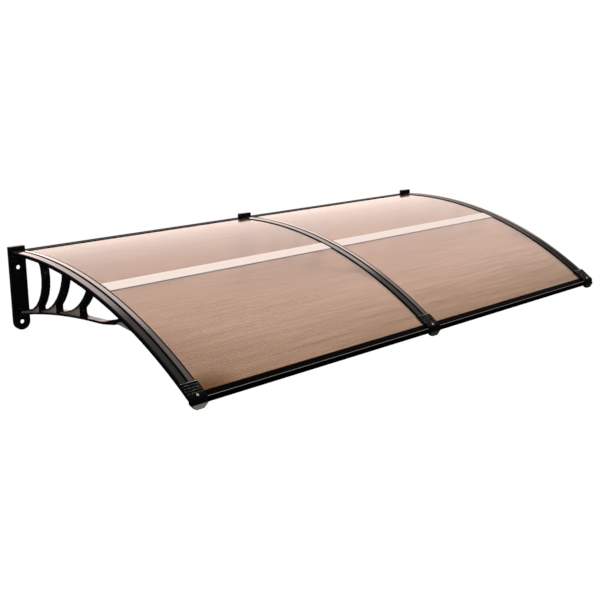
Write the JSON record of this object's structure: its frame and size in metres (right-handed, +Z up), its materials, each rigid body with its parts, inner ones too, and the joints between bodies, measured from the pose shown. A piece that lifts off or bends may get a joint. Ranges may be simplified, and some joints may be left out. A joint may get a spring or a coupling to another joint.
{
  "type": "polycarbonate door canopy",
  "caption": "Arched door canopy of brown twin-wall polycarbonate sheets on black moulded brackets with curved struts, an aluminium joint bar, cover strips and ribbed front clamps.",
  "frame": {"origin": "on the back face of the middle bracket's wall plate, half way between its two fixing holes", "axes": "+X along the wall, to the right as seen from the front; +Y into the wall, square to the plates' back faces; +Z up. The canopy reaches out towards -Y"},
  "size_m": [2.006, 0.9791, 0.2965],
  "materials": {
    "black_abs": "glossy moulded black ABS, spark-textured in the recessed webs",
    "brown_polycarbonate": "glossy translucent brown extruded twin-wall sheet",
    "satin_aluminium": "satin anodised extrusion",
    "black_coated_rail": "black powder-coated aluminium extrusion",
    "black_rubber": "matt extruded rubber",
    "bright_steel": "bright plated steel",
    "blackened_steel": "blackened steel"
  },
  "bodies": {
    "root": {"bracket_left": "black_abs", "bracket_middle": "black_abs", "bracket_right": "black_abs", "cover_strip_left": "black_abs", "cover_strip_middle": "black_abs", "cover_strip_right": "black_abs", "front_clamp_left": "black_abs", "front_clamp_middle": "black_abs", "front_clamp_right": "black_abs", "clamp_screw_left": "bright_steel", "clamp_screw_middle": "bright_steel", "clamp_screw_right": "bright_steel", "cover_screw_left": "blackened_steel", "cover_screw_middle": "blackened_steel", "cover_screw_right": "blackened_steel", "sheet_left_rear": "brown_polycarbonate", "sheet_left_front": "brown_polycarbonate", "sheet_right_rear": "brown_polycarbonate", "sheet_right_front": "brown_polycarbonate", "joint_bar_left": "satin_aluminium", "front_rail_left": "black_coated_rail", "rear_rail_left": "black_coated_rail", "wall_seal_left": "black_rubber", "joint_bar_right": "satin_aluminium", "front_rail_right": "black_coated_rail", "rear_rail_right": "black_coated_rail", "wall_seal_right": "black_rubber"}
  },
  "joints": []
}
